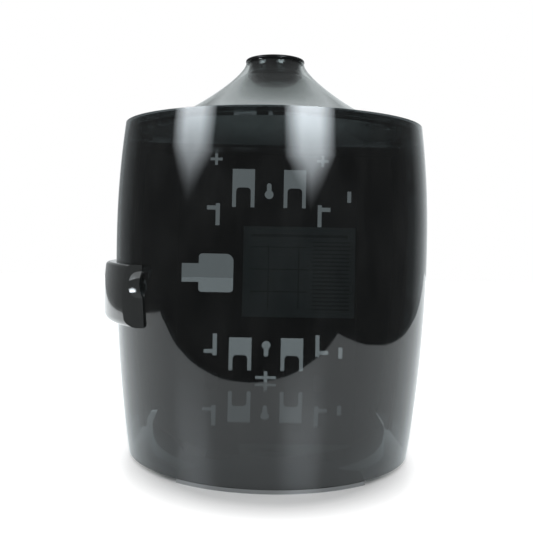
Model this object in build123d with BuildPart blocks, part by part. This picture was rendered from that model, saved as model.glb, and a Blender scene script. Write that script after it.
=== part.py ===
"""Wall-mounted dispenser for a roll of wet wipes, pulled up through the funnel in its top."""

import os
from math import asin, cos, degrees, radians, sin, sqrt, tan

from build123d import *

# Frame: millimetres, +X to the right, +Y to the wall, +Z up, with the wall at Y = 0.
# A height is counted up from the foot. A depth is counted back from the barrel's upright axis.
AXIS_TO_WALL = 130.0
KEYHOLE_SPACING = 160.0
ORIGIN_HEIGHT = 152.0

# Barrel that the cover and the back shell share
BARREL_RADIUS = 137.0
WIDEST_HEIGHT = 195.0
LOWER_BEND = 1200.0
UPPER_BEND = 770.0
RIM_HEIGHT = 284.7
SHELL_WALL = 3.0
SPLIT_DEPTH = 62.0
SPLIT_GAP = 0.8

# Foot, and the cover's lower edge just above it
BASE_THICKNESS = 3.0
BASE_HALF_WIDTH = 72.0
BASE_SETBACK = 0.5
COVER_LIFT = 0.5

# Deck and funnel
DECK_THICKNESS = 3.0
DECK_DROP = 0.7
DECK_FIT = 0.3
WALL_CLEARANCE = 2.5
LEDGE_THICKNESS = 2.5
LEDGE_REACH = 9.0
FLARE_RADIUS = 112.0
FLARE_RUN = 20.0
NECK_RUN = 14.0
MOUTH_RADIUS = 26.4
MOUTH_RISE = 60.0
DOME_LUG_RADIUS = 6.5
DOME_LUG_AZIMUTH = 50.0
DOME_LUG_DEPTH = 44.0

# Nozzle insert in the funnel's mouth
CUP_RADIUS = 22.5
CUP_WALL = 2.0
CUP_DEPTH = 18.5
CUP_CORNER = 8.0
LIP_HEIGHT = 3.5
LIP_OVERHANG = 0.2
SLIT_WIDTH = 1.8
SLIT_HEIGHT = 13.5
SLIT_TURN = -33.0
RING_HEIGHT = 3.0
RING_WIDTH = 2.2
RING_BELOW_MOUTH = 8.5

# Back plate
PLATE_THICKNESS = 4.5
WINDOW_ACROSS = 27.5
WINDOW_WIDTH = 24.0
WINDOW_LEG = 4.2
UPPER_ROW_DROP = 18.7
LOWER_ROW_DROP = 27.0
UPPER_WINDOW = (41.0, 21.0)
LOWER_WINDOW = (35.0, 16.0)
TONGUE_CORNER = 4.0
KEYHOLE_RADIUS = 4.7
KEYHOLE_SLOT = 5.0
KEYHOLE_REACH = 11.0
SLOT_WIDTH = 4.6
ANGLE_SLOT_ACROSS = 54.5
ANGLE_SLOT_HEIGHT = 23.5
ANGLE_SLOT_ARM = 14.0
ANGLE_ARM_OFFSET = 7.0
UPPER_ANGLE_DROP = 49.0
CROSS_ACROSS = 57.0
CROSS_BELOW_TOP = 8.7
UPPER_CROSS = (13.0, 3.2)
LOWER_CROSS = (22.0, 3.8)
LOWER_CROSS_DROP = 34.0
UPPER_SLOT_ACROSS = 86.0
UPPER_SLOT_DROP = 28.0
LOWER_SLOT_ACROSS = 79.0
SMALL_SLOT_HEIGHT = 12.0
OPENING_ACROSS = -55.0
OPENING_HEIGHT = 147.5
OPENING_SIZE = (37.0, 41.0)
OPENING_CORNER = 4.0
OPENING_TOP_CORNER = 8.0
OPENING_STUB = (19.0, 20.0)
RIB_ACROSS = 96.0
RIB_WIDTH = 2.0
RIB_HEIGHT = 3.0
RIB_END_GAP = 30.0
LIP_THICKNESS = 2.0
LIP_REACH = 6.0
LIP_CLEARANCE = 0.6
LIP_ROOT = 8.0

# Instruction sheet
LABEL_WIDTH = 119.5
LABEL_HEIGHT = 96.0
LABEL_THICKNESS = 0.3
LABEL_ACROSS = 33.3
LABEL_MID_HEIGHT = 150.0

# Roll tray, which falls towards the front
TRAY_RADIUS = 102.0
TRAY_BACK_HEIGHT = 34.0
TRAY_FALL = 3.9
TRAY_WALL = 2.5
TRAY_BEVEL = 9.0
TRAY_BEVEL_DROP = 3.2
DRAIN_DEPTH = -79.0
DRAIN_LENGTH = 18.0
DRAIN_WIDTH = 3.0
EAR_ACROSS = 57.0
EAR_WIDTH = 13.0
EAR_RISE = 9.0
POST_RADIUS = 4.5
POST_ACROSS = 55.0
POST_DEPTHS = (-50.0, 70.0)
POST_SCREW_LENGTH = 8.0

# Side hinge on the right
KNUCKLE_RADIUS = 4.5
KNUCKLE_LENGTH = 12.0
KNUCKLE_PLAY = 0.3
KNUCKLE_CLEARANCE = 0.5
PIN_RADIUS = 2.0
PIN_PLAY = 0.05
PIN_FIT = 0.02
PIN_HEAD_RADIUS = 3.2
PIN_HEAD_HEIGHT = 1.5
LEAF_REACH = 17.0
LOWER_HINGE_HEIGHT = 110.0
HINGE_BELOW_RIM = 34.7

# Latch block and cam lock on the left
LATCH_LOW = 115.0
LATCH_HIGH = 164.0
LATCH_PROUD = 9.3
LATCH_BULGE = 1.2
LATCH_END_DEPTH = -89.5
LATCH_END_ROUND = 14.0
LATCH_END_WALL = 9.5
LATCH_BACK = 22.0
LATCH_WALL = 2.6
LATCH_SEAT = 0.15
LATCH_TOP_ROUND = 3.0
LATCH_LOW_ROUND = 7.0
DISH_RADIUS = 10.4
DISH_SINK = 3.0
DISH_ACROSS = -104.5
DISH_HEIGHT = 148.5
LOCK_DEPTH = 2.0
LOCK_RADIUS = 9.4
LOCK_LENGTH = 29.0
LOCK_FLANGE_RADIUS = 11.5
LOCK_FLANGE = 2.2
LOCK_BORE_PLAY = 0.3
LOCK_NUT_FLATS = 24.0
LOCK_NUT_THICKNESS = 5.0
PLUG_RADIUS = 6.0
PLUG_HEAD_RADIUS = 7.5
PLUG_HEAD = 1.2
PLUG_PLAY = 0.05
PLUG_SQUARE = 7.0
KEY_SLOT_WIDTH = 1.6
KEY_SLOT_LENGTH = 7.5
KEY_SLOT_DEPTH = 5.0
CAM_THICKNESS = 2.5
CAM_GAP = 0.3
CAM_HUB = 7.5
CAM_WIDTH = 9.0
CAM_LENGTH = 32.0
HOOK_WIDTH = 8.0
HOOK_REACH = 8.0
CAM_SCREW_LENGTH = 7.0
CAM_SCREW_HEAD_RADIUS = 4.2
HOUSING_SCREW_AZIMUTH = 64.0
HOUSING_SCREW_SPREAD = 15.5
HOUSING_SCREW_LENGTH = 8.0

# Keeper arm on the back shell
KEEPER_THICKNESS = 4.0
KEEPER_HEIGHT = 14.0
KEEPER_GAP = 4.5
KEEPER_FOOT = 26.0
STUD_WIDTH = 7.0
STUD_HEIGHT = 7.0
STUD_CLEARANCE = 1.5
KEEPER_RISE = 2.0
KEEPER_RAMP = 6.0

# Pan-head screws, each with a slot in its head
SCREW_RADIUS = 1.5
SCREW_FIT = 0.05
SCREW_HEAD_RADIUS = 2.9
SCREW_HEAD = 1.8
SCREW_BEVEL = 0.7
SLOT_LENGTH = 3.4
SLOT_ACROSS = 0.8
SLOT_DEPTH = 1.0

# Sizes worked out from the ones above
keyhole_low = ORIGIN_HEIGHT - KEYHOLE_SPACING / 2
keyhole_high = ORIGIN_HEIGHT + KEYHOLE_SPACING / 2
cover_edge = BASE_THICKNESS + COVER_LIFT
cover_back = SPLIT_DEPTH - SPLIT_GAP / 2
shell_front = SPLIT_DEPTH + SPLIT_GAP / 2
plate_front = AXIS_TO_WALL - PLATE_THICKNESS
deck_top = RIM_HEIGHT - DECK_DROP
deck_bottom = deck_top - DECK_THICKNESS
ledge_bottom = deck_bottom - LEDGE_THICKNESS
shell_top = ledge_bottom - SPLIT_GAP
deck_back = AXIS_TO_WALL - WALL_CLEARANCE
mouth_height = deck_top + MOUTH_RISE
hinge_across = BARREL_RADIUS + KNUCKLE_RADIUS + KNUCKLE_CLEARANCE
hinge_heights = (LOWER_HINGE_HEIGHT, RIM_HEIGHT - HINGE_BELOW_RIM)
latch_height = (LATCH_LOW + LATCH_HIGH) / 2
latch_face = BARREL_RADIUS + LATCH_PROUD
latch_sweep = degrees(asin(-LATCH_END_DEPTH / BARREL_RADIUS)) + 6
upper_row = shell_top - UPPER_ROW_DROP
lower_row = keyhole_low - LOWER_ROW_DROP
screw_hole = SCREW_RADIUS + SCREW_FIT


def barrel_radius(height, inset=0.0):
    """Radius of the barrel's skin at a height, or of the face an inset behind it."""
    bend = LOWER_BEND if height < WIDEST_HEIGHT else UPPER_BEND
    return BARREL_RADIUS - bend + sqrt((bend - inset) ** 2 - (height - WIDEST_HEIGHT) ** 2)


def facing(depth):
    """Upright plane at a depth, seen from the front: local X is across, local Y is height."""
    return Plane(origin=(0, depth - AXIS_TO_WALL, -ORIGIN_HEIGHT), x_dir=(1, 0, 0), z_dir=(0, -1, 0))


def level(height):
    """Level plane at a height, seen from above: local X is across, local Y is depth."""
    return Plane(origin=(0, -AXIS_TO_WALL, height - ORIGIN_HEIGHT), x_dir=(1, 0, 0), z_dir=(0, 0, 1))


def side(across):
    """Upright plane across the object, facing right: local X is depth, local Y is height."""
    return Plane(origin=(across, -AXIS_TO_WALL, -ORIGIN_HEIGHT), x_dir=(0, 1, 0), z_dir=(1, 0, 0))


def radial(azimuth, height, reach):
    """Plane square to the barrel's radius on the left, at an angle from the front."""
    out = Vector(-sin(radians(azimuth)), -cos(radians(azimuth)), 0)
    centre = Vector(0, -AXIS_TO_WALL, height - ORIGIN_HEIGHT) + out * reach
    return Plane(origin=centre, x_dir=(0, 0, 1), z_dir=out)


barrel_axis = Axis((0, -AXIS_TO_WALL, 0), (0, 0, 1))
left_side = Plane(origin=(0, -AXIS_TO_WALL, -ORIGIN_HEIGHT), x_dir=(-1, 0, 0), z_dir=(0, 1, 0))


def barrel_section(low, high, inset=0.0):
    """Closed front view of the barrel between two heights, drawn in by an inset."""
    waist = (BARREL_RADIUS - inset, WIDEST_HEIGHT)
    foot = (barrel_radius(low, inset), low)
    rim = (barrel_radius(high, inset), high)
    with BuildSketch() as section:
        with BuildLine():
            TangentArc(waist, foot, tangent=(0, -1))
            TangentArc(waist, rim, tangent=(0, 1))
            Line(foot, (0, low))
            Line(rim, (0, high))
            mirror(about=Plane.YZ)
        make_face()
    return section.sketch


def arch_plan(radius, back):
    """Plan of a piece that is round in front and runs straight back on both sides."""
    with BuildSketch() as plan:
        with BuildLine():
            ThreePointArc((-radius, 0), (0, -radius), (radius, 0))
            Polyline((radius, 0), (radius, back), (-radius, back), (-radius, 0))
        make_face()
    return plan.sketch


def hinge_leaf(toward, root, bore):
    """Plan of a knuckle and the tapered web that joins it to the shell, towards depth +1 or -1."""
    edge = SPLIT_DEPTH + toward * SPLIT_GAP / 2
    with BuildSketch() as leaf:
        with BuildLine():
            Polyline(
                (root, edge),
                (hinge_across + KNUCKLE_RADIUS, edge),
                (root, edge + toward * LEAF_REACH),
                close=True,
            )
        make_face()
        with Locations((hinge_across, SPLIT_DEPTH)):
            Circle(KNUCKLE_RADIUS)
            Circle(bore, mode=Mode.SUBTRACT)
    return leaf.sketch


def leaf_root(hinge_height):
    """Where a leaf starts, inside the shell's wall over the whole height of the hinge."""
    reach = 1.5 * KNUCKLE_LENGTH
    return min(barrel_radius(hinge_height - reach), barrel_radius(hinge_height + reach)) - SHELL_WALL / 2


def window_cut(low, height, leg_height):
    """One n-shaped window and the round-topped tongue that it leaves standing."""
    with BuildSketch() as window:
        with Locations((0, low + height / 2)):
            Rectangle(WINDOW_WIDTH, height)
        with Locations((0, low)):
            RectangleRounded(WINDOW_WIDTH - 2 * WINDOW_LEG, 2 * leg_height, TONGUE_CORNER, mode=Mode.SUBTRACT)
    return window.sketch


def angle_slot(side_way, height, arm_way):
    """Upright slot with an arm to the outside, above or below its middle."""
    across = side_way * ANGLE_SLOT_ACROSS
    with BuildSketch() as slot:
        with Locations((across, height)):
            Rectangle(SLOT_WIDTH, ANGLE_SLOT_HEIGHT)
        arm_middle = across + side_way * (ANGLE_SLOT_ARM - SLOT_WIDTH) / 2
        with Locations((arm_middle, height + arm_way * ANGLE_ARM_OFFSET)):
            Rectangle(ANGLE_SLOT_ARM, SLOT_WIDTH)
    return slot.sketch


def plate_opening():
    """Rounded opening, with a larger corner at its top right."""
    with BuildSketch() as opening:
        Rectangle(*OPENING_SIZE)
        corners = opening.vertices().sort_by_distance((OPENING_SIZE[0] / 2, OPENING_SIZE[1] / 2, 0))
        fillet(corners[1:], OPENING_CORNER)
        corner = opening.vertices().sort_by_distance((OPENING_SIZE[0] / 2, OPENING_SIZE[1] / 2, 0))[0]
        fillet(corner, OPENING_TOP_CORNER)
    return opening.sketch


def pan_screw(plane, length, head_radius=SCREW_HEAD_RADIUS):
    """Slotted pan-head screw whose head lies on a plane and whose shank runs down behind it."""
    with BuildPart() as screw:
        with BuildSketch(plane):
            Circle(head_radius)
        extrude(amount=SCREW_HEAD)
        chamfer(screw.edges().sort_by(Axis(plane.origin, plane.z_dir))[-1], SCREW_BEVEL)
        with BuildSketch(plane):
            Circle(SCREW_RADIUS)
        extrude(amount=-length)
        with BuildSketch(plane.offset(SCREW_HEAD)):
            Rectangle(SLOT_LENGTH, SLOT_ACROSS)
        extrude(amount=-SLOT_DEPTH, mode=Mode.SUBTRACT)
    return screw.part


def screw_set(planes, length):
    """Group of equal screws, one on each plane."""
    return Compound(children=[pan_screw(plane, length).solid() for plane in planes])


def shifted(plane, place):
    """The same plane with its origin moved to a place on it."""
    return Plane(origin=plane.from_local_coords((*place, 0)), x_dir=plane.x_dir, z_dir=plane.z_dir)


def down_plane(height, place):
    """Level plane that faces down at a height, with its origin at a place across and in depth."""
    return Plane(origin=shifted(level(height), place).origin, z_dir=(0, 0, -1))


os.makedirs("parts", exist_ok=True)


def keep(shape, name):
    """Label a finished piece and write it."""
    shape.label = name
    export_step(shape, f"parts/{name}.step")


# Places of the screws
dome_lugs = []
rim_radius = barrel_radius(RIM_HEIGHT)
lug_ring = rim_radius - LEDGE_REACH - 1.5
for lug_side in (-1, 1):
    lug_turn = radians(DOME_LUG_AZIMUTH)
    dome_lugs.append((lug_side * lug_ring * sin(lug_turn), -lug_ring * cos(lug_turn)))
    dome_lugs.append((lug_side * lug_ring, DOME_LUG_DEPTH))
post_places = [(lug_side * POST_ACROSS, depth) for lug_side in (-1, 1) for depth in POST_DEPTHS]
housing_screw_heights = (latch_height - HOUSING_SCREW_SPREAD, latch_height + HOUSING_SCREW_SPREAD)

# Cover shell: round in front, straight at the sides, with a ledge for the deck under its rim
with BuildPart() as cover_shell:
    with BuildSketch(facing(0)) as wall_section:
        with BuildLine():
            outer_waist = (BARREL_RADIUS, WIDEST_HEIGHT)
            outer_edge = (barrel_radius(cover_edge), cover_edge)
            inner_waist = (BARREL_RADIUS - SHELL_WALL, WIDEST_HEIGHT)
            inner_edge = (barrel_radius(cover_edge, SHELL_WALL), cover_edge)
            under_ledge = (barrel_radius(ledge_bottom, SHELL_WALL), ledge_bottom)
            TangentArc(outer_waist, outer_edge, tangent=(0, -1))
            TangentArc(outer_waist, (rim_radius, RIM_HEIGHT), tangent=(0, 1))
            Polyline(
                (rim_radius, RIM_HEIGHT),
                (rim_radius - SHELL_WALL, RIM_HEIGHT),
                (rim_radius - SHELL_WALL, deck_bottom),
                (rim_radius - LEDGE_REACH, deck_bottom),
                (rim_radius - LEDGE_REACH, ledge_bottom),
                under_ledge,
            )
            TangentArc(inner_waist, under_ledge, tangent=(0, 1))
            TangentArc(inner_waist, inner_edge, tangent=(0, -1))
            Line(inner_edge, outer_edge)
        make_face()
    revolve(axis=-barrel_axis, revolution_arc=180)
    with BuildSketch(facing(0)):
        add(wall_section.sketch_local)
        mirror(about=Plane.YZ)
    extrude(amount=-cover_back)
    # Rim and ledge run on to the wall, over the back shell
    with BuildSketch(facing(cover_back)):
        add(wall_section.sketch_local)
        mirror(about=Plane.YZ)
        with Locations((0, ledge_bottom / 2)):
            Rectangle(3 * BARREL_RADIUS, ledge_bottom, mode=Mode.SUBTRACT)
    extrude(amount=cover_back - deck_back)
    # Lugs under the deck's screws
    with BuildSketch(level(ledge_bottom)):
        with Locations(*dome_lugs):
            Circle(DOME_LUG_RADIUS)
    extrude(amount=LEDGE_THICKNESS)
    with BuildSketch(level(ledge_bottom)):
        with Locations(*dome_lugs):
            Circle(screw_hole)
    extrude(amount=LEDGE_THICKNESS, mode=Mode.SUBTRACT)
    # Middle knuckle of each hinge
    for hinge_height in hinge_heights:
        with BuildSketch(level(hinge_height - KNUCKLE_LENGTH / 2 + KNUCKLE_PLAY)):
            add(hinge_leaf(-1, leaf_root(hinge_height), PIN_RADIUS + PIN_PLAY))
        extrude(amount=KNUCKLE_LENGTH - 2 * KNUCKLE_PLAY)
    # Hole for the lock and for the screws of the latch block
    with BuildSketch(side(-BARREL_RADIUS - 1)):
        with Locations((LOCK_DEPTH, latch_height)):
            Circle(LOCK_RADIUS + LOCK_BORE_PLAY)
    extrude(amount=SHELL_WALL + 5, mode=Mode.SUBTRACT)
    for height in housing_screw_heights:
        with BuildSketch(radial(HOUSING_SCREW_AZIMUTH, height, BARREL_RADIUS - SHELL_WALL - 3)):
            Circle(screw_hole)
        extrude(amount=SHELL_WALL + 5, mode=Mode.SUBTRACT)
keep(cover_shell.part, "cover_shell")

# Deck and funnel in one moulding
with BuildPart() as nozzle_dome:
    with BuildSketch(level(deck_bottom)):
        add(arch_plan(rim_radius - SHELL_WALL - DECK_FIT, deck_back))
        Circle(FLARE_RADIUS, mode=Mode.SUBTRACT)
    extrude(amount=DECK_THICKNESS)
    with BuildSketch(facing(0)):
        with BuildLine():
            outer_flare = Bezier(
                (FLARE_RADIUS, deck_top),
                (FLARE_RADIUS - FLARE_RUN, deck_top),
                (MOUTH_RADIUS, mouth_height - NECK_RUN),
                (MOUTH_RADIUS, mouth_height),
            )
            inner_points = [
                outer_flare @ (step / 8) + (outer_flare % (step / 8)).rotate(Axis.Z, 90) * DECK_THICKNESS
                for step in range(9)
            ]
            inner_flare = Spline(*inner_points, tangents=((-1, 0), (0, 1)))
            Line(outer_flare @ 1, inner_flare @ 1)
            Polyline(
                outer_flare @ 0,
                (FLARE_RADIUS + 1, deck_top),
                (FLARE_RADIUS + 1, deck_bottom),
                inner_flare @ 0,
            )
        make_face()
    revolve(axis=barrel_axis)
    with BuildSketch(level(deck_bottom)):
        with Locations(*dome_lugs):
            Circle(screw_hole)
    extrude(amount=DECK_THICKNESS - 0.4, mode=Mode.SUBTRACT)
keep(nozzle_dome.part, "nozzle_dome")


keep(
    screw_set([down_plane(ledge_bottom, place) for place in dome_lugs], LEDGE_THICKNESS + DECK_THICKNESS - 0.6),
    "dome_screws",
)

# Nozzle insert: a slit cup that hangs in the funnel by its rolled lip
cup_floor = mouth_height - CUP_DEPTH
lip_radius = MOUTH_RADIUS + LIP_OVERHANG
with BuildPart() as nozzle_insert:
    with BuildSketch(facing(0)) as cup_section:
        with BuildLine():
            Polyline(
                (0, cup_floor + CUP_WALL),
                (0, cup_floor),
                (CUP_RADIUS - CUP_CORNER, cup_floor),
            )
            TangentArc(
                (CUP_RADIUS - CUP_CORNER, cup_floor),
                (CUP_RADIUS, cup_floor + CUP_CORNER),
                tangent=(1, 0),
            )
            Polyline(
                (CUP_RADIUS, cup_floor + CUP_CORNER),
                (CUP_RADIUS, mouth_height),
                (lip_radius - LIP_HEIGHT / 2, mouth_height),
            )
            ThreePointArc(
                (lip_radius - LIP_HEIGHT / 2, mouth_height),
                (lip_radius, mouth_height + LIP_HEIGHT / 2),
                (lip_radius - LIP_HEIGHT / 2, mouth_height + LIP_HEIGHT),
            )
            Line(
                (lip_radius - LIP_HEIGHT / 2, mouth_height + LIP_HEIGHT),
                (CUP_RADIUS, mouth_height + LIP_HEIGHT),
            )
            TangentArc(
                (CUP_RADIUS, mouth_height + LIP_HEIGHT),
                (CUP_RADIUS - CUP_WALL, mouth_height + LIP_HEIGHT - CUP_WALL),
                tangent=(-1, 0),
            )
            Line(
                (CUP_RADIUS - CUP_WALL, mouth_height + LIP_HEIGHT - CUP_WALL),
                (CUP_RADIUS - CUP_WALL, cup_floor + CUP_CORNER),
            )
            TangentArc(
                (CUP_RADIUS - CUP_WALL, cup_floor + CUP_CORNER),
                (CUP_RADIUS - CUP_CORNER, cup_floor + CUP_WALL),
                tangent=(0, -1),
            )
            Line((CUP_RADIUS - CUP_CORNER, cup_floor + CUP_WALL), (0, cup_floor + CUP_WALL))
        make_face()
    revolve(axis=barrel_axis)
    with BuildSketch(level(cup_floor)):
        with Locations(Rotation(0, 0, SLIT_TURN), Rotation(0, 0, SLIT_TURN + 90)):
            Rectangle(SLIT_WIDTH, 3 * CUP_RADIUS)
    extrude(amount=SLIT_HEIGHT, mode=Mode.SUBTRACT)
keep(nozzle_insert.part, "nozzle_insert")

# Ring that grips the cup under the funnel's mouth
with BuildPart() as insert_ring:
    with BuildSketch(level(mouth_height - RING_BELOW_MOUTH)):
        Circle(CUP_RADIUS + PIN_FIT + RING_WIDTH)
        Circle(CUP_RADIUS + PIN_FIT, mode=Mode.SUBTRACT)
    extrude(amount=-RING_HEIGHT)
keep(insert_ring.part, "insert_ring")

# Back shell: plate on the wall with side walls and a top wall that carry on the barrel
keeper_foot_depth = shell_front + LIP_ROOT + 1
keeper_screw_places = [
    (keeper_foot_depth + KEEPER_FOOT * share, latch_height + KEEPER_RISE + KEEPER_HEIGHT / 2) for share in (0.4, 0.8)
]
with BuildPart() as back_plate:
    with BuildSketch(facing(AXIS_TO_WALL)):
        add(barrel_section(BASE_THICKNESS, shell_top))
    extrude(amount=AXIS_TO_WALL - shell_front)
    with BuildSketch(facing(plate_front)):
        add(barrel_section(BASE_THICKNESS - 1, shell_top - SHELL_WALL, SHELL_WALL))
    extrude(amount=plate_front - shell_front, mode=Mode.SUBTRACT)
    # Side lips that reach into the cover
    lip_outside = SHELL_WALL + LIP_CLEARANCE
    with BuildSketch(facing(shell_front + LIP_ROOT)):
        add(barrel_section(BASE_THICKNESS, shell_top, SHELL_WALL - LIP_THICKNESS / 10))
        add(barrel_section(0, RIM_HEIGHT, lip_outside + LIP_THICKNESS), mode=Mode.SUBTRACT)
    extrude(amount=LIP_ROOT)
    with BuildSketch(facing(shell_front)):
        add(barrel_section(BASE_THICKNESS, shell_top, lip_outside))
        add(barrel_section(0, RIM_HEIGHT, lip_outside + LIP_THICKNESS), mode=Mode.SUBTRACT)
    extrude(amount=LIP_REACH)
    # Stiffening ribs beside the middle of the plate
    with BuildSketch(facing(plate_front)):
        with Locations((-RIB_ACROSS, ORIGIN_HEIGHT), (RIB_ACROSS, ORIGIN_HEIGHT)):
            Rectangle(RIB_WIDTH, shell_top - BASE_THICKNESS - 2 * RIB_END_GAP)
    extrude(amount=RIB_HEIGHT)
    # Windows, keyholes and slots through the plate
    with BuildSketch(facing(AXIS_TO_WALL)):
        for low, sizes in ((upper_row - UPPER_WINDOW[0], UPPER_WINDOW), (lower_row, LOWER_WINDOW)):
            with Locations((-WINDOW_ACROSS, 0), (WINDOW_ACROSS, 0)):
                add(window_cut(low, *sizes))
        for height, slot_way in ((keyhole_low, -1), (keyhole_high, 1)):
            with Locations((0, height)):
                Circle(KEYHOLE_RADIUS)
            with Locations((0, height + slot_way * KEYHOLE_REACH / 2)):
                SlotCenterToCenter(KEYHOLE_REACH - KEYHOLE_SLOT / 2, KEYHOLE_SLOT, rotation=90)
        for side_way in (-1, 1):
            for height, arm_way in ((upper_row - UPPER_ANGLE_DROP, 1), (keyhole_low, -1)):
                add(angle_slot(side_way, height, arm_way))
            with Locations((side_way * CROSS_ACROSS, shell_top - CROSS_BELOW_TOP)):
                Rectangle(*UPPER_CROSS)
                Rectangle(*reversed(UPPER_CROSS))
        with Locations((0, keyhole_low - LOWER_CROSS_DROP)):
            Rectangle(*LOWER_CROSS)
            Rectangle(LOWER_CROSS[1], LOWER_CROSS[0] * 0.64)
        with Locations((UPPER_SLOT_ACROSS, upper_row - UPPER_SLOT_DROP), (LOWER_SLOT_ACROSS, keyhole_low - 7)):
            Rectangle(SLOT_WIDTH, SMALL_SLOT_HEIGHT)
        with Locations((OPENING_ACROSS, OPENING_HEIGHT)):
            add(plate_opening())
        with Locations((OPENING_ACROSS - (OPENING_SIZE[0] + OPENING_STUB[0]) / 2 + 1, OPENING_HEIGHT)):
            Rectangle(*OPENING_STUB)
    extrude(amount=PLATE_THICKNESS, mode=Mode.SUBTRACT)
    # End knuckles of each hinge, with the pin's tight holes
    for hinge_height in hinge_heights:
        for start in (-1.5 * KNUCKLE_LENGTH, 0.5 * KNUCKLE_LENGTH):
            with BuildSketch(level(hinge_height + start)):
                add(hinge_leaf(1, leaf_root(hinge_height), PIN_RADIUS + PIN_FIT))
            extrude(amount=KNUCKLE_LENGTH)
    # Pilot holes for the tray's screws and the keeper's screws
    with BuildSketch(facing(plate_front)):
        with Locations((-EAR_ACROSS, TRAY_BACK_HEIGHT + EAR_RISE / 2), (EAR_ACROSS, TRAY_BACK_HEIGHT + EAR_RISE / 2)):
            Circle(screw_hole)
    extrude(amount=-PLATE_THICKNESS + 1, mode=Mode.SUBTRACT)
    with BuildSketch(side(-BARREL_RADIUS + 1)):
        with Locations(*keeper_screw_places):
            Circle(screw_hole)
    extrude(amount=SHELL_WALL + 2, mode=Mode.SUBTRACT)
keep(back_plate.part, "back_plate")

# Bare instruction sheet on the plate
with BuildPart() as instruction_label:
    with BuildSketch(facing(plate_front)):
        with Locations((LABEL_ACROSS, LABEL_MID_HEIGHT)):
            Rectangle(LABEL_WIDTH, LABEL_HEIGHT)
    extrude(amount=LABEL_THICKNESS)
keep(instruction_label.part, "instruction_label")

# Hinge pins
for name, hinge_height in zip(("hinge_pin_lower", "hinge_pin_upper"), hinge_heights):
    with BuildPart() as hinge_pin:
        with BuildSketch(level(hinge_height - 1.5 * KNUCKLE_LENGTH)):
            with Locations((hinge_across, SPLIT_DEPTH)):
                Circle(PIN_RADIUS)
        extrude(amount=3 * KNUCKLE_LENGTH)
        with BuildSketch(level(hinge_height + 1.5 * KNUCKLE_LENGTH)):
            with Locations((hinge_across, SPLIT_DEPTH)):
                Circle(PIN_HEAD_RADIUS)
        extrude(amount=PIN_HEAD_HEIGHT)
        fillet(hinge_pin.edges().sort_by(Axis.Z)[-1], PIN_HEAD_HEIGHT / 2)
    keep(hinge_pin.part, name)

# Roll tray: a hollow wedge whose glossy top falls to the front, with a bevelled edge
tray_slope = Plane(
    origin=(0, plate_front - AXIS_TO_WALL, TRAY_BACK_HEIGHT - ORIGIN_HEIGHT),
    x_dir=(1, 0, 0),
    z_dir=(0, -sin(radians(TRAY_FALL)), cos(radians(TRAY_FALL))),
)
ear_height = TRAY_BACK_HEIGHT + EAR_RISE / 2


def tray_height(depth, sink=0.0):
    """Height of the tray's sloping top at a depth, or of a face that lies sink below it."""
    return TRAY_BACK_HEIGHT - (plate_front - depth) * tan(radians(TRAY_FALL)) - sink


with BuildPart() as roll_tray:
    with BuildSketch(level(BASE_THICKNESS)):
        add(arch_plan(TRAY_RADIUS, plate_front))
    extrude(amount=TRAY_BACK_HEIGHT)
    split(bisect_by=tray_slope, keep=Keep.BOTTOM)
    tray_top = roll_tray.faces().sort_by(Axis((0, 0, 0), tray_slope.z_dir))[-1]
    front_edge = tray_top.edges().filter_by(GeomType.LINE, reverse=True)
    front_wall = roll_tray.faces().filter_by(GeomType.CYLINDER)[0]
    chamfer(front_edge, length=TRAY_BEVEL_DROP, length2=TRAY_BEVEL, reference=front_wall)
    offset(amount=-TRAY_WALL, openings=roll_tray.faces().sort_by(Axis.Z)[0])
    # Screw posts down to the foot
    for place in post_places:
        with BuildSketch(level(BASE_THICKNESS)):
            with Locations(place):
                Circle(POST_RADIUS)
        extrude(amount=tray_height(place[1], TRAY_WALL / 2) - BASE_THICKNESS)
    with BuildSketch(level(BASE_THICKNESS)):
        with Locations(*post_places):
            Circle(screw_hole)
    extrude(amount=POST_SCREW_LENGTH, mode=Mode.SUBTRACT)
    # Ears that the bright screws hold to the plate
    with BuildSketch(facing(plate_front)):
        with Locations((-EAR_ACROSS, TRAY_BACK_HEIGHT), (EAR_ACROSS, TRAY_BACK_HEIGHT)):
            RectangleRounded(EAR_WIDTH, 2 * EAR_RISE, EAR_WIDTH / 4)
        with Locations((-EAR_ACROSS, ear_height), (EAR_ACROSS, ear_height)):
            Circle(screw_hole, mode=Mode.SUBTRACT)
    extrude(amount=TRAY_WALL)
    # Cross-shaped drain at the low side
    with BuildSketch(level(BASE_THICKNESS)):
        with Locations((0, DRAIN_DEPTH)):
            Rectangle(DRAIN_LENGTH, DRAIN_WIDTH)
            Rectangle(DRAIN_WIDTH, DRAIN_LENGTH / 2)
    extrude(amount=TRAY_BACK_HEIGHT, mode=Mode.SUBTRACT)
keep(roll_tray.part, "roll_tray")

ear_face = facing(plate_front - TRAY_WALL)
tray_screw_planes = [shifted(ear_face, (way * EAR_ACROSS, ear_height)) for way in (-1, 1)]
keep(screw_set(tray_screw_planes, TRAY_WALL + PLATE_THICKNESS - 1.2), "tray_screws")

# Foot: a flat plate under the tray, round in front
with BuildPart() as base_plate:
    with BuildSketch(level(0)):
        add(arch_plan(barrel_radius(cover_edge) - BASE_SETBACK, AXIS_TO_WALL - BASE_SETBACK))
        Rectangle(2 * BASE_HALF_WIDTH, 4 * BARREL_RADIUS, mode=Mode.INTERSECT)
    extrude(amount=BASE_THICKNESS)
    with Locations(*[down_plane(0, place) for place in post_places]):
        CounterBoreHole(screw_hole, SCREW_HEAD_RADIUS + SCREW_FIT, SCREW_HEAD + SCREW_FIT)
keep(base_plate.part, "base_plate")
base_screw_planes = [down_plane(SCREW_HEAD + SCREW_FIT, place) for place in post_places]
base_screw_length = BASE_THICKNESS - SCREW_HEAD + POST_SCREW_LENGTH - 0.5
keep(screw_set(base_screw_planes, base_screw_length), "base_screws")

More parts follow.
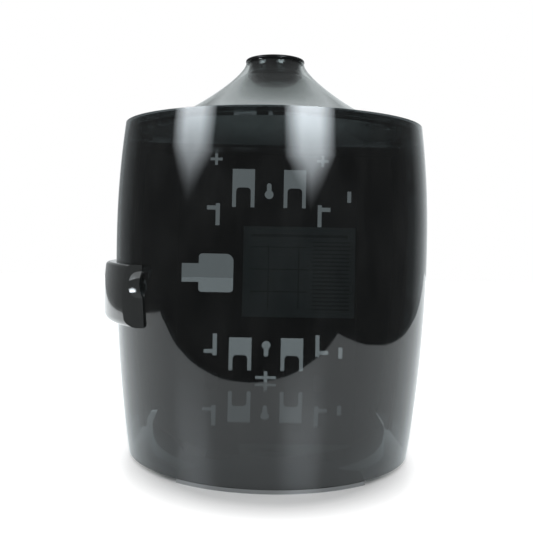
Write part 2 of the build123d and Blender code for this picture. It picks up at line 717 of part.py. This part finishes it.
# Latch block: a hollow grip round the left of the cover, with a thumb dish and the lock
with BuildPart() as latch_housing:
    with BuildSketch(left_side) as block_section:
        with BuildLine():
            seat_low = (barrel_radius(LATCH_LOW) + LATCH_SEAT, LATCH_LOW)
            seat_mid = (barrel_radius(latch_height) + LATCH_SEAT, latch_height)
            seat_high = (barrel_radius(LATCH_HIGH) + LATCH_SEAT, LATCH_HIGH)
            face_low = (latch_face - LATCH_BULGE, LATCH_LOW)
            face_high = (latch_face - LATCH_BULGE, LATCH_HIGH)
            ThreePointArc(seat_low, seat_mid, seat_high)
            Line(seat_high, face_high)
            ThreePointArc(face_high, (latch_face, latch_height), face_low)
            Line(face_low, seat_low)
        make_face()
        outer_corners = block_section.vertices().group_by(Axis.X)[-1].sort_by(Axis.Y)
        fillet(outer_corners[0], LATCH_LOW_ROUND)
        fillet(block_section.vertices().group_by(Axis.Y)[-1].sort_by(Axis.X)[-1], LATCH_TOP_ROUND)
    revolve(axis=barrel_axis, revolution_arc=latch_sweep)
    extrude(block_section.sketch, amount=LATCH_BACK)
    # Inner end, which turns to the front in a round
    with BuildSketch(level(LATCH_LOW)) as end_plan:
        add(arch_plan(latch_face + LATCH_SEAT, LATCH_BACK))
        with Locations((0, LATCH_END_DEPTH - BARREL_RADIUS)):
            Rectangle(4 * BARREL_RADIUS, 2 * BARREL_RADIUS, mode=Mode.SUBTRACT)
        fillet(end_plan.vertices().group_by(Axis.Y)[0], LATCH_END_ROUND)
    extrude(amount=LATCH_HIGH - LATCH_LOW, mode=Mode.INTERSECT)
    # Hollow behind the face
    with BuildPart(mode=Mode.SUBTRACT):
        with BuildSketch(left_side) as hollow_section:
            hollow_face = latch_face - LATCH_BULGE - LATCH_WALL
            with Locations(((hollow_face + BARREL_RADIUS - SHELL_WALL) / 2, latch_height)):
                Rectangle(
                    hollow_face - BARREL_RADIUS + SHELL_WALL,
                    LATCH_HIGH - LATCH_LOW - 2 * LATCH_WALL - LATCH_LOW_ROUND,
                )
        revolve(axis=barrel_axis, revolution_arc=latch_sweep)
        extrude(hollow_section.sketch, amount=LATCH_BACK - LATCH_WALL)
        split(bisect_by=facing(LATCH_END_DEPTH + LATCH_END_WALL), keep=Keep.BOTTOM)
    # Posts for its screws
    for height in housing_screw_heights:
        seat = barrel_radius(height) + LATCH_SEAT
        with BuildSketch(radial(HOUSING_SCREW_AZIMUTH, height, seat + 0.5)):
            Circle(POST_RADIUS)
        extrude(amount=hollow_face - seat)
        with BuildSketch(radial(HOUSING_SCREW_AZIMUTH, height, BARREL_RADIUS - SHELL_WALL)):
            Circle(screw_hole)
        extrude(amount=HOUSING_SCREW_LENGTH + 0.5, mode=Mode.SUBTRACT)
    # Flat seat and hole for the lock, and the thumb dish
    with BuildSketch(side(-latch_face - 1)):
        with Locations((LOCK_DEPTH, latch_height)):
            Circle(LOCK_FLANGE_RADIUS + LOCK_BORE_PLAY)
    extrude(amount=LATCH_BULGE + 1, mode=Mode.SUBTRACT)
    with BuildSketch(side(-latch_face - 1)):
        with Locations((LOCK_DEPTH, latch_height)):
            Circle(LOCK_RADIUS + LOCK_BORE_PLAY)
    extrude(amount=LATCH_PROUD + SHELL_WALL, mode=Mode.SUBTRACT)
    dish_ball = (DISH_RADIUS**2 + DISH_SINK**2) / (2 * DISH_SINK)
    with Locations(shifted(facing(LATCH_END_DEPTH - dish_ball + DISH_SINK), (DISH_ACROSS, DISH_HEIGHT))):
        Sphere(dish_ball, mode=Mode.SUBTRACT)
keep(latch_housing.part, "latch_housing")

housing_screw_planes = []
for height in housing_screw_heights:
    reach = barrel_radius(height, SHELL_WALL) - 0.3
    inward = radial(HOUSING_SCREW_AZIMUTH, height, reach)
    housing_screw_planes.append(Plane(origin=inward.origin, z_dir=-inward.z_dir))
keep(screw_set(housing_screw_planes, HOUSING_SCREW_LENGTH), "housing_screws")

# Cam lock through the latch block and the cover
lock_seat = -(latch_face - LATCH_BULGE)
lock_front = lock_seat - LOCK_FLANGE
lock_back = lock_seat + LOCK_LENGTH
lock_place = (LOCK_DEPTH, latch_height)
with BuildPart() as lock_body:
    with BuildSketch(side(lock_front)):
        with Locations(lock_place):
            Circle(LOCK_FLANGE_RADIUS)
    extrude(amount=LOCK_FLANGE)
    fillet(lock_body.edges().sort_by(Axis.X)[0], LOCK_FLANGE / 3)
    with BuildSketch(side(lock_seat)):
        with Locations(lock_place):
            Circle(LOCK_RADIUS)
    extrude(amount=LOCK_LENGTH)
    with BuildSketch(side(lock_front)):
        with Locations(lock_place):
            Circle(PLUG_RADIUS + PLUG_PLAY)
    extrude(amount=LOCK_FLANGE + LOCK_LENGTH, mode=Mode.SUBTRACT)
    with BuildSketch(side(lock_front)):
        with Locations(lock_place):
            Circle(PLUG_HEAD_RADIUS + PLUG_PLAY)
    extrude(amount=PLUG_HEAD + PLUG_PLAY, mode=Mode.SUBTRACT)
keep(lock_body.part, "lock_body")

nut_seat = -barrel_radius(latch_height - LOCK_NUT_FLATS / 2, SHELL_WALL) + LOCK_BORE_PLAY
with BuildPart() as lock_nut:
    with BuildSketch(side(nut_seat)):
        with Locations(lock_place):
            RegularPolygon(LOCK_NUT_FLATS / 2, 6, major_radius=False)
            Circle(LOCK_RADIUS + PIN_FIT, mode=Mode.SUBTRACT)
    extrude(amount=LOCK_NUT_THICKNESS)
keep(lock_nut.part, "lock_nut")

with BuildPart() as lock_plug:
    with BuildSketch(side(lock_front)):
        with Locations(lock_place):
            Circle(PLUG_HEAD_RADIUS)
    extrude(amount=PLUG_HEAD)
    with BuildSketch(side(lock_front)):
        with Locations(lock_place):
            Circle(PLUG_RADIUS)
    extrude(amount=LOCK_FLANGE + LOCK_LENGTH + CAM_GAP)
    with BuildSketch(side(lock_back + CAM_GAP)):
        with Locations(lock_place):
            Rectangle(PLUG_SQUARE, PLUG_SQUARE)
    extrude(amount=CAM_THICKNESS)
    with BuildSketch(side(lock_front)):
        with Locations(lock_place):
            Rectangle(KEY_SLOT_WIDTH, KEY_SLOT_LENGTH)
    extrude(amount=KEY_SLOT_DEPTH, mode=Mode.SUBTRACT)
    with BuildSketch(side(lock_back + CAM_GAP + CAM_THICKNESS)):
        with Locations(lock_place):
            Circle(screw_hole)
    extrude(amount=-CAM_SCREW_LENGTH - 0.5, mode=Mode.SUBTRACT)
keep(lock_plug.part, "lock_plug")

# Cam: hangs down when unlocked, with its hook pointing back
cam_seat = lock_back + CAM_GAP
with BuildPart() as lock_cam:
    with BuildSketch(side(cam_seat)):
        with Locations(lock_place):
            Circle(CAM_HUB)
        with Locations((LOCK_DEPTH, latch_height - CAM_LENGTH / 2)):
            Rectangle(CAM_WIDTH, CAM_LENGTH)
        hook_mid = LOCK_DEPTH + (CAM_WIDTH + HOOK_REACH) / 2
        with Locations((hook_mid, latch_height - CAM_LENGTH + HOOK_WIDTH / 2)):
            Rectangle(HOOK_REACH, HOOK_WIDTH)
        with Locations(lock_place):
            Rectangle(PLUG_SQUARE + 2 * PIN_FIT, PLUG_SQUARE + 2 * PIN_FIT, mode=Mode.SUBTRACT)
    extrude(amount=CAM_THICKNESS)
    cam_tip = lock_cam.edges().filter_by(Axis.X).group_by(Axis.Z)[0]
    fillet(cam_tip, CAM_WIDTH / 4)
keep(lock_cam.part, "lock_cam")
cam_screw_plane = shifted(side(cam_seat + CAM_THICKNESS), lock_place)
keep(pan_screw(cam_screw_plane, CAM_SCREW_LENGTH, CAM_SCREW_HEAD_RADIUS), "cam_screw")

# Keeper arm, whose stud the cam hooks behind
hook_front = LOCK_DEPTH + CAM_LENGTH - HOOK_WIDTH
stud_back = hook_front - STUD_CLEARANCE
stud_front = stud_back - STUD_WIDTH
stud_low = latch_height + CAM_WIDTH / 2 + STUD_CLEARANCE
keeper_low = latch_height + KEEPER_RISE
keeper_inside = cam_seat - KEEPER_GAP
keeper_outside = keeper_inside - KEEPER_THICKNESS
keeper_wall = -barrel_radius(keeper_low, SHELL_WALL) + PIN_FIT
with BuildPart() as latch_keeper:
    with BuildSketch(level(keeper_low)):
        with BuildLine():
            Polyline(
                (keeper_inside, stud_front),
                (keeper_inside, keeper_foot_depth + KEEPER_FOOT),
                (keeper_wall, keeper_foot_depth + KEEPER_FOOT),
                (keeper_wall, keeper_foot_depth + KEEPER_RAMP),
                (keeper_outside, keeper_foot_depth),
                (keeper_outside, stud_front),
                close=True,
            )
        make_face()
    extrude(amount=KEEPER_HEIGHT)
    with BuildSketch(side(keeper_inside)):
        with Locations(((stud_front + stud_back) / 2, stud_low + STUD_HEIGHT / 2)):
            Rectangle(STUD_WIDTH, STUD_HEIGHT)
    extrude(amount=KEEPER_GAP + CAM_THICKNESS + 1)
    with BuildSketch(side(keeper_wall - 1)):
        with Locations(*keeper_screw_places):
            Circle(screw_hole)
    extrude(amount=BARREL_RADIUS, mode=Mode.SUBTRACT)
keep(latch_keeper.part, "latch_keeper")
keeper_screw_planes = [shifted(side(keeper_inside), place) for place in keeper_screw_places]
keep(screw_set(keeper_screw_planes, keeper_inside + BARREL_RADIUS - 1.5), "keeper_screws")
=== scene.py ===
"""Looks of the wall-mounted wipes dispenser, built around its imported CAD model."""

from math import cos, radians, sin

import bpy
from mathutils import Matrix, Vector


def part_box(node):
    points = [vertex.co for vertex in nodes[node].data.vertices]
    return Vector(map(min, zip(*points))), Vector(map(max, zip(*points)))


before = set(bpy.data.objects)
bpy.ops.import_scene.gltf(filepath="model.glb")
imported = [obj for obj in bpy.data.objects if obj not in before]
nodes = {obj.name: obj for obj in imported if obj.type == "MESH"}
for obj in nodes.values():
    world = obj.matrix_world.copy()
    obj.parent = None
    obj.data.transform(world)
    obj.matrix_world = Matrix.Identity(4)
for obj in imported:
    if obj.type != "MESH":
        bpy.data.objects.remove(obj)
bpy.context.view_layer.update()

# Places taken from the frame, in metres: the wall is at Y = 0, and the dispenser stands on its foot
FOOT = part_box("base_plate")[0].z
RIM_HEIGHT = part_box("cover_shell")[1].z
MOUTH_LOW, MOUTH_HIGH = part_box("nozzle_insert")
BARREL_AXIS = (MOUTH_LOW + MOUTH_HIGH) / 2
LABEL_LOW, LABEL_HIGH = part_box("instruction_label")

# Photograph's view: lens and sensor in millimetres, places in metres
LENS = 51.35
SENSOR = 36.0
NEAREST = 0.01
VIEW_DISTANCE = 0.685
VIEW_SIDE = -0.020
EYE_HEIGHT = 0.1903
VIEW_TURN = radians(1.22)
VIEW_PITCH = radians(2.5)
VIEW_ROLL = radians(1.15)
FRAME_SHIFT = -0.124

# Smoked plastic: what each face of a wall lets through, and the height over which it clears above the rim
COVER_TINT = (0.305, 0.332, 0.340)
DECK_TINT = (0.350, 0.375, 0.375)
FUNNEL_TINT = (0.545, 0.575, 0.570)
CLEARING = 0.012
HAZE_DARK = (0.02, 0.022, 0.022)
HAZE_LIGHT = (0.10, 0.105, 0.10)

# Shine of the plastics
PLASTIC_IOR = 1.5
COAT_ROUGHNESS = 0.03
COAT_IOR = 1.85

# Printed areas of the sheet inside, as shares of its width and height: left, right, bottom and top
RULED_AREA = (0.62, 0.95, 0.06, 0.84)
HEADING_AREA = (0.07, 0.93, 0.885, 0.915)
FRAMES_AREA = (0.07, 0.57, 0.10, 0.80)

# Pitch of its ruled lines and of its frames, in metres, and the share of each pitch that is line
RULE_PITCH = 0.0042
RULE_SHARE = 0.36
FRAME_HEIGHT = 0.0236
FRAME_WIDTH = 0.0322
SILL_SHARE = 0.05
POST_SHARE = 0.035
PAPER_DARK = (0.78, 0.83, 0.81)
PAPER_LIGHT = (0.87, 0.90, 0.88)
INK = (0.34, 0.39, 0.38)

# Pale sheet on which the dispenser stands, askew: corners from the barrel's axis, traced in the cover
SHEET_CORNERS = ((-0.81, -0.14), (0.40, -0.45), (1.65, 2.55), (-1.05, 2.55))
SHEET_DARK = (0.84, 0.84, 0.84)
SHEET_LIGHT = (0.87, 0.87, 0.87)
SHEET_SATIN = 0.12
SHEET_ROUGHNESS = 0.28
SHEET_LIFT = 0.55
SHEET_COOL = (0.88, 0.98, 1.02)

# Oval round the foot inside which the sheet keeps its shadow: narrowing, shift to the front and radii
SHADE_NARROWING = 1.2
SHADE_SHIFT = 0.025
SHADE_RADII = (0.114, 0.154)

# Room in the mirrors: levels, and the stretches of a direction's X, Y or Z over which they change
WHITE = (1, 1, 1)
ROOM_COLOUR = (0.93, 0.98, 1.0)
ROOM_LEVEL = 0.10
BACK_STRETCH = (0.5, 1.0)
LEFT_LEVEL = 0.3
LEFT_STRETCH = (-0.35, -0.05)
CEILING_FRONT = 0.30
CEILING_BACK = 1.3
CEILING_DEPTH = (0.42, 0.68)
CEILING_EDGE = (0.4, 0.6)

# Window lamps in front on either side, in metres, with their outline as shares of their height and width:
# each widens from a point near its foot to full width at its shoulder, and is soft at its sides
LAMP_COLOUR = (0.88, 0.95, 1.0)
LAMP_DISTANCE = 1.6
LAMP_RISE = 0.45
LAMP_AIM = 0.02
LAMP_POINT = 0.04
LAMP_SHOULDER = 0.5
LAMP_HALF = 0.5
LAMP_SOFTNESS = 0.33


def add_node(tree, kind, inputs=None, **settings):
    """Node of one kind with its settings, and its inputs set or linked by name or number."""
    node = tree.nodes.new(kind)
    for key, value in settings.items():
        setattr(node, key, value)
    for key, value in (inputs or {}).items():
        socket = node.inputs[key]
        if isinstance(value, bpy.types.NodeSocket):
            tree.links.new(value, socket)
        else:
            socket.default_value = value
    return node


def new_material(name):
    """Empty node material and its tree."""
    material = bpy.data.materials.new(name)
    material.use_nodes = True
    material.node_tree.nodes.clear()
    return material, material.node_tree


def show(tree, shader, kind="ShaderNodeOutputMaterial"):
    """Output node that shows a shader on the surface."""
    add_node(tree, kind, {"Surface": shader})


def place(tree, source="Object"):
    """Place on the object, or in another set of coordinates."""
    return add_node(tree, "ShaderNodeTexCoord").outputs[source]


def along(tree, vector):
    """X, Y and Z of a place or a direction."""
    return add_node(tree, "ShaderNodeSeparateXYZ", {0: vector}).outputs


def noise(tree, scale, detail=2.0, roughness=0.5, stretch=(1, 1, 1)):
    """Noise in the object's own coordinates, stretched along its axes, from 0 to 1."""
    mapping = add_node(tree, "ShaderNodeMapping", {"Vector": place(tree), "Scale": stretch})
    cloud = add_node(
        tree,
        "ShaderNodeTexNoise",
        {"Vector": mapping.outputs[0], "Scale": scale, "Detail": detail, "Roughness": roughness},
    )
    return cloud.outputs["Fac"]


def spread(tree, value, low, high, start=0.3, end=0.7):
    """Value that runs from low to high while another runs from start to end, and stays there beyond."""
    node = add_node(
        tree,
        "ShaderNodeMapRange",
        {"Value": value, "From Min": start, "From Max": end, "To Min": low, "To Max": high},
    )
    return node.outputs[0]


def tint(tree, factor, low, high):
    """Colour between two colours by a factor."""
    node = add_node(tree, "ShaderNodeMix", {"Factor": factor}, data_type="RGBA")
    for socket, colour in ((6, low), (7, high)):
        if isinstance(colour, bpy.types.NodeSocket):
            tree.links.new(colour, node.inputs[socket])
        else:
            node.inputs[socket].default_value = (*colour, 1)
    return node.outputs[2]


def bump(tree, height, strength, distance):
    """Normal from a height pattern."""
    inputs = {"Height": height, "Strength": strength, "Distance": distance}
    return add_node(tree, "ShaderNodeBump", inputs).outputs[0]


def calculate(tree, operation, *values):
    """Result of one operation on pattern values or numbers."""
    return add_node(tree, "ShaderNodeMath", dict(enumerate(values)), operation=operation).outputs[0]


def product(tree, *values):
    """Product of several pattern values."""
    result = values[0]
    for value in values[1:]:
        result = calculate(tree, "MULTIPLY", result, value)
    return result


def larger(tree, first, second):
    """Larger of two pattern values."""
    return calculate(tree, "MAXIMUM", first, second)


def stripes(tree, value, pitch, share):
    """1 on a share of each pitch along a value, and 0 between."""
    turns = calculate(tree, "DIVIDE", value, pitch)
    return calculate(tree, "LESS_THAN", calculate(tree, "FRACT", turns), share)


def between(tree, value, low, high):
    """1 where a value lies between two limits, and 0 elsewhere."""
    over = calculate(tree, "GREATER_THAN", value, low)
    under = calculate(tree, "LESS_THAN", value, high)
    return product(tree, over, under)


def principled(tree, inputs):
    """Principled shader with its inputs set or linked."""
    return add_node(tree, "ShaderNodeBsdfPrincipled", inputs).outputs[0]


def mixed(tree, share, first, second):
    """Shader between two shaders by a share."""
    return add_node(tree, "ShaderNodeMixShader", {0: share, 1: first, 2: second}).outputs[0]


def smoked(name, tinge, above_rim=None):
    """Smoked plastic: tinted see-through, worn, a mirror by Fresnel, and with its own tint above the rim."""
    material, tree = new_material(name)
    colour = (*tinge, 1)
    if above_rim:
        height = along(tree, place(tree))["Z"]
        colour = tint(tree, spread(tree, height, 0, 1, RIM_HEIGHT, RIM_HEIGHT + CLEARING), tinge, above_rim)
    clear = add_node(tree, "ShaderNodeBsdfTransparent", {"Color": colour}).outputs[0]
    wear = noise(tree, scale=60, detail=6, roughness=0.62, stretch=(1, 1, 0.35))
    haze = principled(tree, {"Base Color": tint(tree, wear, HAZE_DARK, HAZE_LIGHT), "Roughness": 0.5})
    body = mixed(tree, spread(tree, wear, 0.02, 0.07, start=0.35, end=0.8), clear, haze)
    skin = bump(tree, noise(tree, scale=14), strength=0.12, distance=0.002)
    inside = add_node(tree, "ShaderNodeNewGeometry").outputs["Backfacing"]
    index = spread(tree, inside, PLASTIC_IOR, 1 / PLASTIC_IOR, start=0, end=1)
    mirror = add_node(tree, "ShaderNodeFresnel", {"IOR": index, "Normal": skin}).outputs[0]
    gloss = spread(tree, wear, 0.015, 0.06)
    shine = {"Color": (1, 1, 1, 1), "Roughness": gloss, "Normal": skin}
    show(tree, mixed(tree, mirror, body, add_node(tree, "ShaderNodeBsdfAnisotropic", shine).outputs[0]))
    return material


def moulded(name, dark, light, gloss, grain=500.0, grain_strength=0.15, coat=0.0, specular=0.5):
    """Moulded plastic: slight colour drift, uneven gloss between two roughnesses, and a fine grain."""
    material, tree = new_material(name)
    drift = noise(tree, scale=22, detail=5, roughness=0.6)
    scuffs = noise(tree, scale=90, detail=8, roughness=0.7, stretch=(1, 1, 0.3))
    inputs = {
        "Base Color": tint(tree, drift, dark, light),
        "Roughness": spread(tree, scuffs, *gloss),
        "IOR": PLASTIC_IOR,
        "Specular IOR Level": specular,
        "Coat Weight": coat,
        "Coat Roughness": COAT_ROUGHNESS,
        "Coat IOR": COAT_IOR,
        "Normal": bump(tree, noise(tree, grain, detail=3), grain_strength, distance=0.0003),
    }
    show(tree, principled(tree, inputs))
    return material


def metal(name, dark, light, gloss):
    """Plated metal with fine scratches, uneven in gloss between two roughnesses."""
    material, tree = new_material(name)
    scratches = noise(tree, scale=900, detail=4, roughness=0.6)
    inputs = {
        "Base Color": tint(tree, noise(tree, scale=120, detail=3), dark, light),
        "Metallic": 1.0,
        "Roughness": spread(tree, scratches, *gloss),
        "Normal": bump(tree, scratches, strength=0.1, distance=0.0002),
    }
    show(tree, principled(tree, inputs))
    return material


def label_area(tree, across, up, area):
    """1 inside an area of the sheet inside, given by shares of its width and height, and 0 elsewhere."""
    left, right, bottom, top = area
    size = LABEL_HIGH - LABEL_LOW
    columns = between(tree, across, LABEL_LOW.x + left * size.x, LABEL_LOW.x + right * size.x)
    rows = between(tree, up, LABEL_LOW.z + bottom * size.z, LABEL_LOW.z + top * size.z)
    return product(tree, columns, rows)


def label_sheet():
    """Pale sheet with bare ruled lines and blank picture frames, and no lettering."""
    material, tree = new_material("label_sheet_look")
    axes = along(tree, place(tree))
    across, up = axes["X"], axes["Z"]
    heading = label_area(tree, across, up, HEADING_AREA)
    rules = stripes(tree, up, RULE_PITCH, RULE_SHARE)
    ruled = product(tree, label_area(tree, across, up, RULED_AREA), rules)
    sills = stripes(tree, up, FRAME_HEIGHT, SILL_SHARE)
    posts = stripes(tree, across, FRAME_WIDTH, POST_SHARE)
    frames = product(tree, label_area(tree, across, up, FRAMES_AREA), larger(tree, sills, posts))
    ink = larger(tree, larger(tree, ruled, heading), frames)
    paper = tint(tree, noise(tree, scale=40, detail=4), PAPER_DARK, PAPER_LIGHT)
    inputs = {
        "Base Color": tint(tree, ink, paper, INK),
        "Roughness": spread(tree, noise(tree, scale=150, detail=3), 0.3, 0.45),
        "Normal": bump(tree, noise(tree, scale=30), strength=0.1, distance=0.0006),
    }
    show(tree, principled(tree, inputs))
    return material


def dress(material, *names):
    """Gives CAD nodes their finished material."""
    for name in names:
        piece = nodes[name]
        piece.data.materials.clear()
        piece.data.materials.append(material)


def dress_nodes():
    """Finished materials on all CAD nodes."""
    dress(smoked("cover_smoke", COVER_TINT), "cover_shell")
    dress(smoked("dome_smoke", DECK_TINT, FUNNEL_TINT), "nozzle_dome")
    black = moulded("moulded_black", (0.008, 0.009, 0.010), (0.016, 0.017, 0.018), gloss=(0.28, 0.42))
    dress(black, "back_plate", "latch_keeper", "insert_ring")
    tray = moulded(
        "tray_gloss",
        dark=(0.030, 0.032, 0.034),
        light=(0.045, 0.047, 0.050),
        gloss=(0.02, 0.05),
        grain=200,
        grain_strength=0.02,
        coat=1.0,
    )
    dress(tray, "roll_tray", "base_plate")
    grip = moulded(
        "grip_gloss",
        dark=(0.018, 0.020, 0.020),
        light=(0.030, 0.032, 0.032),
        gloss=(0.08, 0.16),
        grain=300,
        grain_strength=0.05,
        coat=0.5,
    )
    dress(grip, "latch_housing")
    cup = moulded(
        "cup_black",
        dark=(0.006, 0.006, 0.007),
        light=(0.014, 0.014, 0.015),
        gloss=(0.10, 0.18),
        grain=400,
        grain_strength=0.05,
        specular=0.25,
    )
    dress(cup, "nozzle_insert")
    dress(label_sheet(), "instruction_label")
    zinc = metal("zinc_steel", (0.50, 0.50, 0.49), (0.66, 0.66, 0.65), gloss=(0.22, 0.38))
    dress(zinc, "dome_screws", "housing_screws", "base_screws", "keeper_screws", "cam_screw")
    dress(zinc, "hinge_pin_upper", "hinge_pin_lower", "lock_cam")
    bright = metal("bright_plate", (0.58, 0.58, 0.57), (0.68, 0.68, 0.67), gloss=(0.10, 0.22))
    dress(bright, "tray_screws", "lock_body", "lock_plug", "lock_nut")


def sheet_look():
    """Matt and satin paper that shows white to the camera beyond the shadow, and pale in the mirrors."""
    material, tree = new_material("pale_sheet_look")
    colour = tint(tree, noise(tree, scale=3), SHEET_DARK, SHEET_LIGHT)
    matt = add_node(tree, "ShaderNodeBsdfDiffuse", {"Color": colour}).outputs[0]
    satin = add_node(tree, "ShaderNodeBsdfAnisotropic", {"Roughness": SHEET_ROUGHNESS}).outputs[0]
    middle = (-SHADE_NARROWING * BARREL_AXIS.x, SHADE_SHIFT - BARREL_AXIS.y, -FOOT)
    oval = {"Vector": place(tree), "Location": middle, "Scale": (SHADE_NARROWING, 1, 1)}
    around = add_node(tree, "ShaderNodeMapping", oval).outputs[0]
    from_foot = add_node(tree, "ShaderNodeVectorMath", {0: around}, operation="LENGTH").outputs["Value"]
    pale = spread(tree, from_foot, 0, 1, *SHADE_RADII)
    rays = add_node(tree, "ShaderNodeLightPath").outputs
    seen = larger(tree, product(tree, rays["Is Camera Ray"], pale), rays["Is Glossy Ray"])
    glow = {
        "Color": tint(tree, rays["Is Glossy Ray"], WHITE, SHEET_COOL),
        "Strength": product(tree, seen, SHEET_LIFT),
    }
    lift = add_node(tree, "ShaderNodeEmission", glow).outputs[0]
    paper = mixed(tree, SHEET_SATIN, matt, satin)
    show(tree, add_node(tree, "ShaderNodeAddShader", {0: paper, 1: lift}).outputs[0])
    return material


def stage_sheet():
    """Pale sheet under the dispenser."""
    corners = [(BARREL_AXIS.x + x, BARREL_AXIS.y + y, FOOT) for x, y in SHEET_CORNERS]
    mesh = bpy.data.meshes.new("pale_sheet")
    mesh.from_pydata(corners, [], [(0, 1, 2, 3)])
    sheet = bpy.data.objects.new("pale_sheet", mesh)
    bpy.context.scene.collection.objects.link(sheet)
    mesh.materials.append(sheet_look())


def world_light():
    """White world that lights evenly, and in the mirrors a dim room with a pale ceiling at the back."""
    world = bpy.data.worlds.new("studio")
    bpy.context.scene.world = world
    world.use_nodes = True
    tree = world.node_tree
    tree.nodes.clear()
    axes = along(tree, place(tree, "Generated"))
    behind = spread(tree, axes["Y"], 0, 1, *BACK_STRETCH)
    rightward = spread(tree, axes["X"], LEFT_LEVEL, 1, *LEFT_STRETCH)
    backdrop = spread(tree, product(tree, behind, rightward), ROOM_LEVEL, 1, start=0, end=1)
    ceiling = spread(tree, axes["Y"], CEILING_FRONT, CEILING_BACK, *CEILING_DEPTH)
    above = product(tree, spread(tree, axes["Z"], 0, 1, *CEILING_EDGE), ceiling)
    room = larger(tree, backdrop, above)
    mirrored = add_node(tree, "ShaderNodeLightPath").outputs["Is Glossy Ray"]
    level = add_node(tree, "ShaderNodeMix", {"Factor": mirrored, 2: 1.0, 3: room}).outputs[0]
    colour = tint(tree, mirrored, WHITE, ROOM_COLOUR)
    light = add_node(tree, "ShaderNodeBackground", {"Color": colour, "Strength": level}).outputs[0]
    show(tree, light, "ShaderNodeOutputWorld")


def window_lamp(name, turn, size, power, fall):
    """Window-like lamp at an angle from the front, soft at its sides, narrowing and fading to its foot."""
    lamp = bpy.data.lights.new(name, "AREA")
    lamp.shape = "RECTANGLE"
    lamp.size, lamp.size_y = size
    lamp.energy = power
    lamp.color = LAMP_COLOUR
    lamp.use_nodes = True
    tree = lamp.node_tree
    axes = along(tree, add_node(tree, "ShaderNodeNewGeometry").outputs["Parametric"])
    up = axes["Y"]
    aside = calculate(tree, "ABSOLUTE", calculate(tree, "SUBTRACT", axes["X"], LAMP_HALF))
    reach = spread(tree, up, 0, LAMP_HALF, LAMP_POINT, LAMP_SHOULDER)
    edge = spread(tree, calculate(tree, "SUBTRACT", reach, aside), 0, 1, 0, LAMP_SOFTNESS)
    strength = product(tree, calculate(tree, "POWER", up, fall), edge)
    tree.links.new(strength, tree.nodes["Emission"].inputs["Strength"])
    holder = bpy.data.objects.new(name, lamp)
    way = Vector((sin(radians(turn)), -cos(radians(turn)), 0))
    target = Vector((BARREL_AXIS.x, BARREL_AXIS.y, LAMP_AIM))
    holder.location = target + way * LAMP_DISTANCE + Vector((0, 0, LAMP_RISE))
    holder.rotation_euler = (target - holder.location).to_track_quat("-Z", "Y").to_euler()
    holder.visible_diffuse = False
    bpy.context.scene.collection.objects.link(holder)


def place_camera():
    """Camera at the photograph's place, turn, pitch and roll."""
    camera = bpy.data.cameras.new("camera")
    camera.lens = LENS
    camera.sensor_width = SENSOR
    camera.shift_y = FRAME_SHIFT
    camera.clip_start = NEAREST
    holder = bpy.data.objects.new("camera", camera)
    bpy.context.scene.collection.objects.link(holder)
    eye = Vector((VIEW_SIDE, BARREL_AXIS.y - VIEW_DISTANCE, FOOT + EYE_HEIGHT))
    turn = Matrix.Rotation(-VIEW_TURN, 4, "Z")
    pitch = Matrix.Rotation(radians(90) + VIEW_PITCH, 4, "X")
    roll = Matrix.Rotation(VIEW_ROLL, 4, "Z")
    holder.matrix_world = Matrix.Translation(eye) @ turn @ pitch @ roll
    bpy.context.scene.camera = holder


bpy.context.scene.view_settings.view_transform = "Standard"
dress_nodes()
stage_sheet()
world_light()
window_lamp("window_left", turn=-60.5, size=(1.0, 0.75), power=62, fall=1.9)
window_lamp("window_right", turn=24, size=(1.05, 0.75), power=68, fall=1.5)
place_camera()
